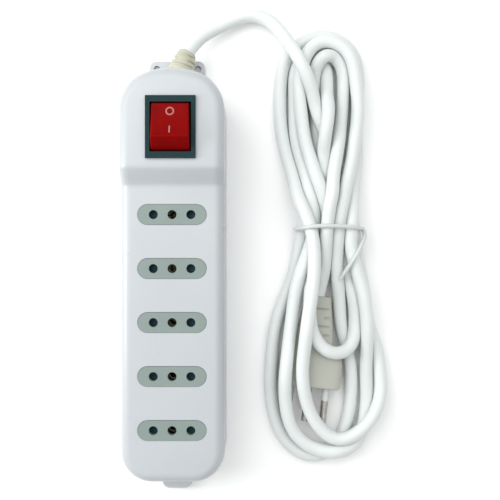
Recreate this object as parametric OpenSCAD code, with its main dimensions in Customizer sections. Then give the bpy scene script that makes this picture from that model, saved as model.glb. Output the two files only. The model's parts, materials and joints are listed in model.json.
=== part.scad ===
// Power strip with five three-pin outlets in a row, a two-pole rocker switch and a tied-up mains lead.
// The strip lies on its back: X across it, Y along it towards the switch, Z up. Its origin is the
// middle of its footprint, on the surface that it lies on.

/* [Casing] */
// Width of the casing
casing_w = 53; // [52:0.5:56]
// Length of the casing without its mounting ears
casing_l = 210; // [206:1:214]
// Height of the outlet deck
outlet_deck_z = 31; // [30:0.5:32]
// Height of the raised deck around the switch
switch_deck_z = 38; // [36:0.5:40]
// Wall thickness of the upper shell
wall = 2; // [1.6:0.1:2.4]
// Radius of the long top edges
edge_r = 5.5; // [4:0.5:7]
// Thickness of the base plate and its ears
base_t = 3; // [2.6:0.1:3.2]

/* [Outlets] */
// Distance between neighbouring outlets
outlet_pitch = 27.3; // [26.5:0.1:27.6]
// Place of the outlet nearest the switch
first_outlet_y = 31.3; // [30:0.1:32]
// Distance from the middle hole to each outer hole
hole_spacing = 9.5; // [9.3:0.1:9.7]
// Radius of each contact hole
hole_r = 2.3; // [2.2:0.05:2.4]
// How far a safety shutter slides
shutter_travel = 4.6; // [4:0.1:4.6]

/* [Switch] */
// Place of the switch along the casing
switch_y = 74.4; // [73:0.1:75]
// Angle of the rocker from level at rest
rocker_tilt = 15; // [12:1:15]
// Angle of the contact levers from level at rest
lever_tilt = 8; // [6:1:8]

/* [Mounting] */
// Radius of the screw holes in the ears and the tab
mount_r = 1.8; // [1.5:0.1:2]
// Distance between the two ear holes
ear_spacing = 22.4; // [21:0.1:23]

/* [Lead] */
// Diameter of the mains lead
cord_d = 7; // [6.5:0.1:7]
// Diameter of the tie wire
tie_d = 2.2; // [2:0.1:2.4]

/* [Hidden] */

casing_end = casing_l / 2;
foot_corner_r = 16;      // plan corners at the foot end
head_corner_r = 20;      // plan corners at the switch end
crown_r = 40;            // bulge of the switch end between its corners
slope_y = 46.2;          // where the slope up to the switch deck starts
slope_run = 8.1;
ear_half_w = 14.9;
ear_y = 111.7;
ear_end = 115.8;
tab_half_w = 8;
tab_y = -110.5;
boss_r = 3.2;
screw_r = 1.3;
screw_sites = [[17, 91], [20, first_outlet_y + outlet_pitch / 2],
               [20, first_outlet_y - 1.5 * outlet_pitch], [17, -93.5]];

// Outlet inserts: a stadium face in the deck, and below it a wider frame with the shutter's channel
insert_w = 34.6;
insert_h = 10.1;
frame_x = 20;            // half length of the frame
frame_y = 6.5;           // half width of the frame
frame_z = 24.8;          // underside of the frame
channel_z = outlet_deck_z - 3;
ledge_z = channel_z - 1.8;
shutter_left = -17.9;
shutter_right = 12.6;
channel_left = shutter_left - 0.3;
channel_right = 19.5;
shutter_z = ledge_z + 0.3;
shutter_t = 1.2;

// Bus bars: flat strips with one slit tube contact under each hole
bar_z = 8;
bar_t = 0.8;
bar_from = -84;
bar_to = 42;
contact_top = 21;
contact_r = 2.05;

// Switch: a 25 x 31 bezel over a 22 x 28 body, with the rocker's axle across the casing
bezel_w = 25;
bezel_l = 31;
bezel_t = 1.5;
bezel_z = switch_deck_z + bezel_t;
body_w = 22;
body_l = 28;
aperture_w = 20.5;
aperture_l = 24.6;
cavity_l = 26.6;
floor_z = 15;
floor_t = 1.5;
axle_z = bezel_z - 6.5;
axle_r = 1.5;
pole_x = 5.5;
plunger_r = 1.2;
plunger_reach = 9.5;     // axle to the centre of the plunger's round tip
lever_z = axle_z - plunger_reach - plunger_r - 1.1;   // underside of a level lever
lever_t = 0.8;
knuckle_r = 0.5;
contact_y = 6.5;
blade_t = 0.8;
blade_w = 6.3;
blade_z = 6.5;
input_y = 8.1;           // input blades, from the switch's middle

// Mains lead: its axis leans towards the hank where it leaves the casing
cord_r = cord_d / 2;
cord_z = 12.5;
cord_x = 2.5;            // where the lead crosses the end wall
lean = 5.7;
clamp_y = 92.5;
clamp_x = cord_x - (casing_end - clamp_y) * tan(lean);
clamp_span = 8.5;
core_r = 1.2;
sheath_end_y = 89;
sheath_end_x = cord_x - (casing_end - sheath_end_y) * tan(lean);

// Route of the lead from its clamp to the hank
lead_route = [[sheath_end_x, sheath_end_y, cord_z], [cord_x, casing_end, cord_z], [3.3, 113, 12.5],
              [4.5, 119, 12.3], [8.5, 123.5, 11.5], [15, 129.5, 9], [25, 136, 5], [35, 140, 4],
              [42, 140, 4], [51, 135.5, 6], [56, 130, 9], [61, 122, 10]];

// Hank: an hourglass of runs, with its waist held by the tie
hank_h = 14;
hank_top = [76.7, 106.5];
hank_top_r = 25;
hank_foot = [80.4, -67.5];
hank_foot_r = 33.3;
waist = [81, 25];
waist_half = 18;
tie_h = hank_h + 2 * tie_d;

// Plug: lies flat in the hank's lower lobe, cord end towards the tie, turned a little
plug_at = [76.3, -11.2];
plug_turn = -6.4;
plug_l = 48.6;
plug_w = 33.4;
plug_t = 13.5;
neck_lift = 2.2;         // how much thinner the neck is on each face, at the lead
pin_r = 2;
pin_l = 19;
sleeve_l = 7;
pin_core_r = 1.5;
pin_root = 12;           // how far a pin reaches into the plug

function outlet_y(i) = first_outlet_y - (i - 1) * outlet_pitch;
function unit(v) = v / norm(v);
function heading(route, i) =
    unit(route[min(i + 1, len(route) - 1)] - route[max(i - 1, 0)]);
function ring(route, i, r, sides) =
    let (t = heading(route, i), across = unit(cross(t, [0, 0, 1])), up = cross(across, t))
    [for (k = [0:sides - 1])
        route[i] + r * (cos(360 * k / sides) * across + sin(360 * k / sides) * up)];
function tube_faces(rings, sides) = concat(
    [[for (k = [0:sides - 1]) k]],
    [[for (k = [0:sides - 1]) rings * sides - 1 - k]],
    [for (i = [0:rings - 2], k = [0:sides - 1])
        let (a = i * sides + k, b = i * sides + (k + 1) % sides)
        [a, a + sides, b]],
    [for (i = [0:rings - 2], k = [0:sides - 1])
        let (a = i * sides + k, b = i * sides + (k + 1) % sides)
        [b, a + sides, b + sides]]);

// Round tube along a route
module tube(route, r, sides = 10) {
    polyhedron(
        points = [for (i = [0:len(route) - 1]) each ring(route, i, r, sides)],
        faces = tube_faces(len(route), sides), convexity = 6);
}

// Coil spring along +X from the origin
module spring(length, mean_r, wire_r, turns) {
    steps = 12;
    sides = 6;
    rings = turns * steps + 1;
    pitch = (length - 2 * wire_r) / turns;
    polyhedron(
        points = [for (i = [0:rings - 1], k = [0:sides - 1])
            let (turn = 360 * i / steps, out = mean_r + wire_r * cos(360 * k / sides))
            [wire_r + pitch * i / steps + wire_r * sin(360 * k / sides),
             out * cos(turn), out * sin(turn)]],
        faces = [for (f = tube_faces(rings, sides)) [for (k = [len(f) - 1:-1:0]) f[k]]],
        convexity = 10);
}

// ---- Casing ----

// Plan outline of the casing, moved in by inset
module casing_outline(inset) {
    half = casing_w / 2 - inset;
    foot_r = foot_corner_r - inset;
    foot_x = half - foot_r;
    foot_y = inset + foot_r - casing_end;
    head_r = head_corner_r - inset;
    head_x = half - head_r;
    crown_y = casing_end - crown_r;
    head_y = crown_y + sqrt(pow(crown_r - head_corner_r, 2) - pow(head_x, 2));
    wedge = 2 * crown_r / (crown_r - head_corner_r);
    translate([-half, foot_y]) square([2 * half, head_y - foot_y]);
    translate([-foot_x, foot_y - foot_r]) square([2 * foot_x, foot_r + 1]);
    for (side = [-1, 1]) {
        translate([side * foot_x, foot_y]) circle(foot_r, $fn = 72);
        translate([side * head_x, head_y]) circle(head_r, $fn = 72);
    }
    intersection() {
        translate([0, crown_y]) circle(crown_r - inset, $fn = 144);
        translate([0, crown_y]) polygon([[0, 0], [wedge * head_x, wedge * (head_y - crown_y)],
                                         [-wedge * head_x, wedge * (head_y - crown_y)]]);
    }
}

// Flat-sided shape with its two top corners rounded
module round_top(half_w, top, r) {
    translate([-half_w, 0]) square([2 * half_w, top - r]);
    translate([r - half_w, 0]) square([2 * (half_w - r), top]);
    for (side = [-1, 1])
        translate([side * (half_w - r), top - r]) circle(r, $fn = 48);
}

// One deck's block: its cross-section along the casing, and its side view across it
module deck_block(inset, top) {
    r = edge_r - inset;
    intersection() {
        translate([0, casing_end, 0]) rotate([90, 0, 0])
            linear_extrude(casing_l) round_top(casing_w / 2 - inset, top - inset, r);
        translate([-casing_w / 2, 0, 0]) rotate([90, 0, 90])
            linear_extrude(casing_w) round_top(casing_end - inset, top - inset, r);
    }
}

module casing_solid(inset, bottom) {
    intersection() {
        translate([0, 0, bottom]) linear_extrude(switch_deck_z - bottom) casing_outline(inset);
        union() {
            deck_block(inset, outlet_deck_z);
            intersection() {
                deck_block(inset, switch_deck_z);
                translate([-casing_w / 2, 0, 0]) rotate([90, 0, 90]) linear_extrude(casing_w)
                    polygon([[slope_y + inset / 2, 0],
                             [slope_y + inset / 2, outlet_deck_z - inset],
                             [slope_y + slope_run + inset / 2, switch_deck_z - inset],
                             [casing_end, switch_deck_z], [casing_end, 0]]);
            }
        }
    }
}

module at_screw_sites() {
    for (site = screw_sites, side = [-1, 1])
        translate([side * site[0], site[1], 0]) children();
}

module insert_face(gap, bottom, top) {
    r = insert_h / 2 + gap;
    run = insert_w / 2 - insert_h / 2;
    translate([0, 0, bottom]) linear_extrude(top - bottom) {
        translate([-run, -r]) square([2 * run, 2 * r]);
        for (side = [-1, 1]) translate([side * run, 0]) circle(r, $fn = 48);
    }
}

// Turns children from lying along +Y into the lead's direction at the end wall
module along_lead() {
    translate([cord_x, casing_end, cord_z]) rotate([0, 0, -lean]) children();
}

module upper_shell() {
    color([0.86, 0.87, 0.89]) difference() {
        union() {
            difference() {
                casing_solid(0, base_t);
                casing_solid(wall, base_t - 1);
            }
            intersection() {
                casing_solid(wall / 2, base_t);
                at_screw_sites() translate([0, 0, base_t]) cylinder(r = boss_r, h = 40, $fn = 32);
            }
        }
        at_screw_sites() cylinder(r = screw_r, h = 14.5, $fn = 32);
        for (i = [1:5])
            translate([0, outlet_y(i), 0])
                insert_face(0, outlet_deck_z - wall - 1, outlet_deck_z + 1);
        translate([-body_w / 2 - 0.2, switch_y - body_l / 2 - 0.2, switch_deck_z - wall - 1])
            cube([body_w + 0.4, body_l + 0.4, wall + 2]);
        along_lead() rotate([90, 0, 0]) cylinder(r = 5, h = 20, center = true, $fn = 48);
    }
}

module base_plate_outline() {
    corner = 3.5;
    tab_corner = 4;
    casing_outline(0);
    translate([-ear_half_w, 90]) square([2 * ear_half_w, ear_end - corner - 90]);
    translate([corner - ear_half_w, 90]) square([2 * (ear_half_w - corner), ear_end - 90]);
    translate([-tab_half_w, tab_corner - ear_end]) square([2 * tab_half_w, 20]);
    translate([tab_corner - tab_half_w, -ear_end])
        square([2 * (tab_half_w - tab_corner), 20]);
    for (side = [-1, 1]) {
        translate([side * (ear_half_w - corner), ear_end - corner]) circle(corner, $fn = 32);
        translate([side * (tab_half_w - tab_corner), tab_corner - ear_end])
            circle(tab_corner, $fn = 32);
    }
}

module base_shell() {
    lip_top = base_t + 2;
    rib_sites = concat([39.5, bar_from + 1],
                       [for (i = [1:4]) outlet_y(i) - outlet_pitch / 2]);
    saddle_h = cord_z - cord_r - base_t;
    color([0.84, 0.85, 0.87]) difference() {
        union() {
            linear_extrude(base_t) base_plate_outline();
            // lip inside the upper shell
            difference() {
                translate([0, 0, base_t]) linear_extrude(lip_top - base_t)
                    casing_outline(wall + 0.15);
                translate([0, 0, base_t]) linear_extrude(lip_top) casing_outline(wall + 1.6);
                at_screw_sites() cylinder(r = boss_r + 0.4, h = 20, $fn = 32);
            }
            // ribs under the bus bars
            for (y = rib_sites)
                translate([-13, y - 0.8, base_t]) cube([26, 1.6, bar_z - base_t]);
            // saddle and posts for the lead's clamp
            translate([clamp_x - 3.5, clamp_y - 2.5, base_t]) cube([7, 5, saddle_h]);
            for (side = [-1, 1])
                translate([clamp_x + side * clamp_span, clamp_y, base_t])
                    cylinder(r = 3, h = cord_z - base_t, $fn = 32);
        }
        for (side = [-1, 1]) {
            translate([side * ear_spacing / 2, ear_y, -1])
                cylinder(r = mount_r, h = base_t + 2, $fn = 32);
            translate([clamp_x + side * clamp_span, clamp_y, 7.5])
                cylinder(r = 1.2, h = 20, $fn = 32);
        }
        translate([0, tab_y, -1]) cylinder(r = mount_r, h = base_t + 2, $fn = 32);
        at_screw_sites() {
            translate([0, 0, -1]) cylinder(r = screw_r + 0.3, h = base_t + 2, $fn = 32);
            translate([0, 0, -1]) cylinder(r = 3, h = 2.8, $fn = 32);
        }
    }
}

module casing_screws() {
    color([0.75, 0.75, 0.72]) at_screw_sites() difference() {
        union() {
            translate([0, 0, 0.2]) cylinder(r = 2.8, h = 1.6, $fn = 32);
            translate([0, 0, 1.8]) cylinder(r = screw_r, h = 11.5, $fn = 32);
        }
        for (turn = [0, 90])
            rotate([0, 0, turn]) translate([-1.8, -0.35, -0.8]) cube([3.6, 0.7, 1.8]);
    }
}

// ---- Outlets ----

module outlet_insert(i) {
    color([0.67, 0.71, 0.69]) translate([0, outlet_y(i), 0]) difference() {
        union() {
            insert_face(0, channel_z - 1, outlet_deck_z);
            translate([-frame_x, -frame_y, frame_z])
                cube([2 * frame_x + 1, 2 * frame_y, outlet_deck_z - wall - frame_z]);
        }
        // channel of the shutter, and the narrower way under it for the pins
        translate([channel_left, -4.3, ledge_z])
            cube([channel_right - channel_left, 8.6, channel_z - ledge_z]);
        translate([channel_left, -3.4, frame_z - 1])
            cube([channel_right - channel_left - 3, 6.8, channel_z - frame_z]);
        for (x = [-hole_spacing, 0, hole_spacing])
            translate([x, 0, frame_z]) cylinder(r = hole_r, h = 20, $fn = 48);
    }
}

// A shutter covers the outer holes. Its two lands slope, so that a pair of pins pushes it aside.
module outlet_shutter(i) {
    top = shutter_z + shutter_t;
    low = shutter_z + 0.4;
    rim = 0.15;          // level edge beside the window and the slot
    land_left = -hole_spacing - hole_r + rim;
    slot_from = -6.9;
    slot_to = hole_spacing - hole_r;
    land_right = slot_to + rim;
    color([0.16, 0.25, 0.27]) translate([0, outlet_y(i), 0]) difference() {
        translate([0, 4, 0]) rotate([90, 0, 0]) linear_extrude(8)
            polygon([[shutter_left, shutter_z], [shutter_right, shutter_z], [shutter_right, top],
                     [slot_to + 4.8, top], [land_right, low], [land_right, top],
                     [slot_from - rim, top], [land_left, low], [land_left, top],
                     [shutter_left, top]]);
        translate([-hole_spacing - shutter_travel, 0, 20]) cylinder(r = hole_r, h = 20, $fn = 48);
        translate([slot_from, -2.4, 20]) cube([slot_to - slot_from, 4.8, 20]);
    }
}

module shutter_spring(i) {
    color([0.7, 0.7, 0.72]) translate([shutter_right, outlet_y(i), shutter_z + shutter_t / 2])
        spring(channel_right - shutter_right, 0.65, 0.2, 5);
}

module busbar(x, strip_w, tint) {
    color(tint) translate([x, 0, 0]) difference() {
        union() {
            translate([-strip_w / 2, bar_from, bar_z]) cube([strip_w, bar_to - bar_from, bar_t]);
            for (i = [1:5])
                translate([0, outlet_y(i), bar_z])
                    cylinder(r = 2.9, h = contact_top - bar_z, $fn = 32);
        }
        for (i = [1:5]) translate([0, outlet_y(i), bar_z + bar_t]) {
            cylinder(r = contact_r, h = 20, $fn = 32);
            translate([-4, -0.4, 3]) cube([8, 0.8, 20]);
        }
    }
}

// ---- Switch ----

module at_axle(tilt) {
    translate([0, switch_y, axle_z]) rotate([tilt, 0, 0]) children();
}

module switch_housing() {
    color([0.16, 0.25, 0.27]) difference() {
        union() {
            translate([-bezel_w / 2, switch_y - bezel_l / 2, switch_deck_z])
                cube([bezel_w, bezel_l, bezel_t]);
            translate([-body_w / 2, switch_y - body_l / 2, floor_z])
                cube([body_w, body_l, switch_deck_z - floor_z]);
            // snap latches under the deck
            for (side = [-1, 1])
                translate([side * body_w / 2, switch_y, 0]) rotate([90, 0, 0])
                    linear_extrude(8, center = true)
                        polygon([[-0.5 * side, 31], [1.2 * side, 35], [1.2 * side, 35.8],
                                 [-0.5 * side, 35.8]]);
        }
        translate([-aperture_w / 2, switch_y - aperture_l / 2, floor_z + floor_t])
            cube([aperture_w, aperture_l, 40]);
        translate([-aperture_w / 2, switch_y - cavity_l / 2, floor_z + floor_t])
            cube([aperture_w, cavity_l, switch_deck_z - floor_z - floor_t]);
        at_axle(0) rotate([0, 90, 0])
            cylinder(r = axle_r + 0.05, h = body_w + 2, center = true, $fn = 48);
        for (side = [-1, 1], y = [-blade_t / 2, input_y - blade_t / 2])
            translate([side * pole_x - blade_w / 2, switch_y + y, floor_z - 1])
                cube([blade_w, blade_t, floor_t + 2]);
    }
}

// Rocker, drawn level around its axle
module level_rocker() {
    top = 10.4;
    difference() {
        intersection() {
            union() {
                difference() {
                    rotate([90, 0, 90]) linear_extrude(19.5, center = true)
                        polygon([[-12.7, 1.5], [-12.1, 4.5], [-8.8, top], [8.8, top],
                                 [12.1, 4.5], [12.7, 1.5]]);
                    rotate([90, 0, 90]) linear_extrude(15.9, center = true)
                        polygon([[-10.9, 0], [-10.3, 4.2], [-7.6, 8.4], [7.6, 8.4],
                                 [10.3, 4.2], [10.9, 0]]);
                }
                // cheeks that carry the axle
                for (side = [-1, 1])
                    translate([side * 8.85, 0, 0]) rotate([90, 0, 90])
                        linear_extrude(1.8, center = true)
                            polygon([[-12.7, 1.5], [-2.6, -3], [2.6, -3], [12.7, 1.5]]);
                // tubes of the plungers
                for (side = [-1, 1])
                    translate([side * pole_x, 0, -5.5]) cylinder(r = 2.2, h = 14.5, $fn = 32);
            }
            // draft of the side faces
            translate([0, 15, 0]) rotate([90, 0, 0]) linear_extrude(30)
                polygon([[-9.75, -6], [9.75, -6], [9.75, 1.5], [9.2, top + 1], [-9.2, top + 1],
                         [-9.75, 1.5]]);
        }
        for (side = [-1, 1])
            translate([side * pole_x, 0, -6]) cylinder(r = 1.6, h = 13, $fn = 32);
        translate([0, 0, top + 59.4]) rotate([0, 90, 0])
            cylinder(r = 60, h = 30, center = true, $fn = 180);
    }
    for (side = [-1, 1])
        translate([side * 9.7, 0, 0]) rotate([0, 90, 0])
            cylinder(r = axle_r, h = 2, center = true, $fn = 48);
}

module switch_rocker() {
    color([0.66, 0.04, 0.04]) at_axle(-rocker_tilt) level_rocker();
}

module rocker_plungers() {
    color([0.9, 0.9, 0.86]) at_axle(-rocker_tilt)
        for (side = [-1, 1]) translate([side * pole_x, 0, 0]) {
            translate([0, 0, -plunger_reach]) cylinder(r = plunger_r, h = 6.5, $fn = 32);
            translate([0, 0, -plunger_reach]) sphere(r = plunger_r, $fn = 32);
            translate([0, 0, -4]) cylinder(r = 1.5, h = 1, $fn = 32);
        }
}

module plunger_springs() {
    color([0.7, 0.7, 0.72]) at_axle(-rocker_tilt)
        for (side = [-1, 1]) translate([side * pole_x, 0, -3]) rotate([0, -90, 0])
            spring(10, 1.1, 0.2, 8);
}

module contact_lever(side) {
    color([0.8, 0.62, 0.3]) translate([side * pole_x, switch_y, lever_z])
        rotate([lever_tilt, 0, 0]) {
            translate([-2.2, -7.5, 0]) cube([4.4, 15, lever_t]);
            // knuckle that rocks on the output blade
            rotate([0, 90, 0]) cylinder(r = knuckle_r, h = 4.4, center = true, $fn = 32);
            translate([0, contact_y, -0.8]) cylinder(r = 1.6, h = 1, $fn = 32);
        }
}

module switch_input_terminals() {
    tab_z = 17.6;
    color([0.8, 0.66, 0.36]) for (side = [-1, 1]) translate([side * pole_x, switch_y, 0]) {
        translate([-blade_w / 2, input_y - blade_t / 2, blade_z])
            cube([blade_w, blade_t, tab_z + blade_t - blade_z]);
        translate([-2.5, contact_y - 1.8, tab_z]) cube([5, input_y - contact_y + 1.8, blade_t]);
        translate([0, contact_y, tab_z]) cylinder(r = 1.6, h = 1.5, $fn = 32);
    }
}

module switch_output_terminals() {
    color([0.8, 0.66, 0.36]) for (side = [-1, 1])
        translate([side * pole_x - blade_w / 2, switch_y - blade_t / 2, blade_z])
            cube([blade_w, blade_t, lever_z - knuckle_r - 0.3 - blade_z]);
}

module neon_lamp() {
    color([0.95, 0.6, 0.4]) translate([0, switch_y, 27]) {
        rotate([90, 0, 0]) cylinder(r = 1.6, h = 8, center = true, $fn = 32);
        translate([0, 4, 0]) sphere(r = 1.6, $fn = 32);
    }
    color([0.6, 0.6, 0.6]) for (y = [-3, 3])
        translate([0, switch_y + y, floor_z + floor_t])
            cylinder(r = 0.3, h = 27 - floor_z - floor_t, $fn = 16);
}

// ---- Wires and the lead's clamp ----

module wire_in(side, tint) {
    out_y = switch_y + input_y + blade_t / 2;
    color(tint) tube([[sheath_end_x + side * 1.5, sheath_end_y, 13.3],
                      [sheath_end_x + side * 1.8, sheath_end_y - 1.5, 12.6],
                      [side * 4.4, out_y + 3.5, 9.4], [side * pole_x, out_y + 1.5, 8],
                      [side * pole_x, out_y, 8]], core_r, 8);
}

module wire_out(side, tint) {
    in_y = switch_y - blade_t / 2;
    color(tint) tube([[side * pole_x, in_y, 8.4], [side * pole_x, in_y - 5, 8.4],
                      [side * 7.5, 60, 6.4], [side * 9.3, 52, 6.6], [side * 9.5, 46, 8.4],
                      [side * 9.5, bar_to, 8.4]], core_r, 8);
}

module earth_wire() {
    color([0.5, 0.7, 0.2]) tube([[sheath_end_x, sheath_end_y, 11.1], [0.7, 87, 9.5],
                                 [0.3, 83, 5.6], [0, 78, 4.4], [0, 64, 4.4], [0, 54, 5],
                                 [0, 46, 8.4], [0, bar_to, 8.4]], core_r, 8);
}

module cable_clamp() {
    color([0.2, 0.2, 0.22]) difference() {
        translate([clamp_x - 12, clamp_y - 2.5, cord_z]) cube([24, 5, 5.5]);
        along_lead() rotate([90, 0, 0]) cylinder(r = cord_r, h = 60, center = true, $fn = 48);
        for (side = [-1, 1])
            translate([clamp_x + side * clamp_span, clamp_y, 0])
                cylinder(r = 1.2, h = 30, $fn = 32);
    }
}

module clamp_screws() {
    color([0.75, 0.75, 0.72]) for (side = [-1, 1])
        translate([clamp_x + side * clamp_span, clamp_y, 8]) {
            cylinder(r = 1.2, h = cord_z + 5.5 - 8, $fn = 32);
            translate([0, 0, cord_z + 5.5 - 8]) cylinder(r = 2.6, h = 1.8, $fn = 32);
        }
}

// Ribbed taper outside the wall, a neck in it and a flange inside
module strain_relief() {
    outside = 14;
    color([0.9, 0.89, 0.8]) along_lead() rotate([-90, 0, 0]) difference() {
        union() {
            translate([0, 0, -wall - 4.4]) cylinder(r = 7.2, h = 2.4, $fn = 48);
            translate([0, 0, -wall - 3]) cylinder(r = 5, h = wall + 4, $fn = 48);
            translate([0, 0, 0.4]) rotate_extrude($fn = 48)
                polygon([[0, 0], [7.1, 0], [6.7, 1.8], [5.6, 1.8], [5.5, 2.8], [6.5, 2.8],
                         [6.1, 4.7], [5.1, 4.7], [5, 5.7], [5.9, 5.7], [5.5, 7.6], [4.6, 7.6],
                         [4.5, 8.6], [5.3, 8.6], [4.9, 10.5], [4.3, 10.5], [4.3, 11.5],
                         [4.7, 11.5], [4.3, outside - 0.4], [0, outside - 0.4]]);
        }
        cylinder(r = cord_r, h = 60, center = true, $fn = 48);
    }
}

// ---- Lead, hank, tie and plug ----

module cord_lead() {
    color([0.88, 0.9, 0.89]) tube(lead_route, cord_r, 10);
}

module tie_section(half_w, height, lift, r) {
    for (x = [-1, 1], z = [-1, 1])
        translate([x * (half_w - r), lift + height / 2 + z * (height / 2 - r)])
            circle(r, $fn = 32);
    translate([-half_w, lift + r]) square([2 * half_w, height - 2 * r]);
    translate([r - half_w, lift]) square([2 * (half_w - r), height]);
}

// A closed band around the waist, from y0 to y1
module waist_band(half_w, height, lift, r, width) {
    translate([waist[0], waist[1] + width / 2, 0]) rotate([90, 0, 0])
        linear_extrude(width) tie_section(half_w, height, lift, r);
}

module hank_outline() {
    translate(hank_top) circle(hank_top_r, $fn = 96);
    translate(hank_foot) circle(hank_foot_r, $fn = 96);
    polygon([[hank_top[0] - hank_top_r, hank_top[1]], [waist[0] - waist_half, waist[1]],
             [hank_foot[0] - hank_foot_r, hank_foot[1]],
             [hank_foot[0] + hank_foot_r, hank_foot[1]],
             [waist[0] + waist_half, waist[1]], [hank_top[0] + hank_top_r, hank_top[1]]]);
}

module cord_hank() {
    color([0.88, 0.9, 0.89]) {
        difference() {
            linear_extrude(hank_h) hank_outline();
            translate([waist[0] - 40, waist[1] - tie_d / 2, -1]) cube([80, tie_d, 40]);
            // room for the plug, and for a socket on its pins
            at_plug() translate([-plug_w / 2 - 1, -plug_l - pin_l - 8, -1])
                cube([plug_w + 2, plug_l + pin_l + 8, 40]);
        }
        waist_band(waist_half, hank_h, tie_d, 5, tie_d);
    }
}

module cord_tie() {
    color([0.9, 0.91, 0.91]) difference() {
        waist_band(waist_half + tie_d, tie_h, 0, 5 + tie_d, tie_d);
        waist_band(waist_half, hank_h, tie_d, 5, tie_d + 1);
    }
}

// Plug coordinates: the lead enters at the origin, and the pins point along -Y
module at_plug() {
    translate([plug_at[0], plug_at[1], 0]) rotate([0, 0, plug_turn]) children();
}

module plug_outline() {
    edge = [[6.9, 0], [7.6, -6], [8.6, -12], [9.9, -20], [10.6, -25], [11.6, -28],
            [13.5, -30.5], [15.5, -32.5], [plug_w / 2, -35], [plug_w / 2, -plug_l]];
    polygon(concat(edge, [for (i = [len(edge) - 1:-1:0]) [-edge[i][0], edge[i][1]]]));
}

module plug_body() {
    grooves = 4;
    groove_w = 1.2;
    color([0.78, 0.78, 0.73]) at_plug() difference() {
        intersection() {
            linear_extrude(plug_t) plug_outline();
            // rounded long edges
            translate([0, 1, 0]) rotate([90, 0, 0]) linear_extrude(plug_l + 2)
                tie_section(plug_w / 2, plug_t, 0, 4);
            // the neck is thinner than the head
            translate([-plug_w / 2, 0, 0]) rotate([90, 0, 90]) linear_extrude(plug_w)
                polygon([[0, neck_lift], [-12, neck_lift - 1], [-34, 0], [-plug_l, 0],
                         [-plug_l, plug_t], [-34, plug_t], [-12, plug_t + 1 - neck_lift],
                         [0, plug_t - neck_lift]]);
        }
        // grip grooves, by turns right across and at the edges only
        for (i = [0:grooves - 1], face = [-1, 1], side = [-1, 1])
            translate([side * (i % 2 == 0 ? 7 : 11) - 7, -6 - 4.6 * i - groove_w,
                       plug_t / 2 + face * (3.7 + 0.23 * i + 2) - 2])
                cube([14, groove_w, 4]);
        for (x = [-hole_spacing, 0, hole_spacing])
            translate([x, -plug_l - 1, plug_t / 2]) rotate([-90, 0, 0])
                cylinder(r = pin_core_r, h = pin_root + 1, $fn = 32);
    }
}

// Earth pin in the middle; the outer pins are thinner where their sleeves sit
module plug_pins() {
    color([0.75, 0.74, 0.7]) at_plug() for (x = [-hole_spacing, 0, hole_spacing])
        translate([x, -plug_l - pin_l, plug_t / 2]) rotate([-90, 0, 0]) {
            cylinder(r = pin_r, h = x == 0 ? pin_l : pin_l - sleeve_l, $fn = 48);
            cylinder(r = pin_core_r, h = pin_l + pin_root, $fn = 48);
        }
}

module plug_pin_sleeves() {
    color([0.93, 0.93, 0.91]) at_plug() for (x = [-hole_spacing, hole_spacing])
        translate([x, -plug_l - sleeve_l, plug_t / 2]) rotate([-90, 0, 0]) difference() {
            cylinder(r = pin_r, h = sleeve_l, $fn = 48);
            translate([0, 0, -1]) cylinder(r = pin_core_r, h = sleeve_l + 2, $fn = 48);
        }
}

upper_shell();
base_shell();
casing_screws();
for (i = [1:5]) {
    outlet_insert(i);
    outlet_shutter(i);
    shutter_spring(i);
}
switch_housing();
switch_rocker();
rocker_plungers();
plunger_springs();
contact_lever(1);  // contact_lever_live
contact_lever(-1);  // contact_lever_neutral
switch_input_terminals();
switch_output_terminals();
neon_lamp();
busbar(hole_spacing, 5, [0.8, 0.62, 0.3]);  // live_busbar
busbar(-hole_spacing, 5, [0.8, 0.62, 0.3]);  // neutral_busbar
busbar(0, 4, [0.8, 0.62, 0.3]);  // earth_busbar
wire_in(1, [0.4, 0.25, 0.15]);  // live_wire_in
wire_in(-1, [0.2, 0.4, 0.75]);  // neutral_wire_in
wire_out(1, [0.4, 0.25, 0.15]);  // live_wire_out
wire_out(-1, [0.2, 0.4, 0.75]);  // neutral_wire_out
earth_wire();
cable_clamp();
clamp_screws();
strain_relief();
cord_lead();
cord_hank();
cord_tie();
plug_body();
plug_pins();
plug_pin_sleeves();
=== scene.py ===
"""Looks of a five-outlet power strip, its rocker switch, and its mains lead folded in a tied hank."""
import json
import math

import bmesh
import bpy
import numpy as np
from mathutils import Matrix, Vector


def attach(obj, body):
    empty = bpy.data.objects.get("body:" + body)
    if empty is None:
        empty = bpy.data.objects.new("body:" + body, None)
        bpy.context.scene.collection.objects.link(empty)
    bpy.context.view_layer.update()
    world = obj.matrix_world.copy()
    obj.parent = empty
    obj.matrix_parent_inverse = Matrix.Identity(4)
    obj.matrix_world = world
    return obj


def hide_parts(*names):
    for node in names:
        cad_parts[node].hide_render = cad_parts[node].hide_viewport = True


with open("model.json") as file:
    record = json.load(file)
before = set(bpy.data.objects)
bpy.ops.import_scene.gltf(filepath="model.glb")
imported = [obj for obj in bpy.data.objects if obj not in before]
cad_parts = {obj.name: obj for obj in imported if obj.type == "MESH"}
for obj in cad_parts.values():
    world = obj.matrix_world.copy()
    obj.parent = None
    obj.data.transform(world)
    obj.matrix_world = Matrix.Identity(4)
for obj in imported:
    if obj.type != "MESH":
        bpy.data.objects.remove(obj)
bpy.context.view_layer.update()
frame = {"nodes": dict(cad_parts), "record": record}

# ---- Sizes, in millimetres, as the CAD has them ----

MM = 0.001

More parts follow.
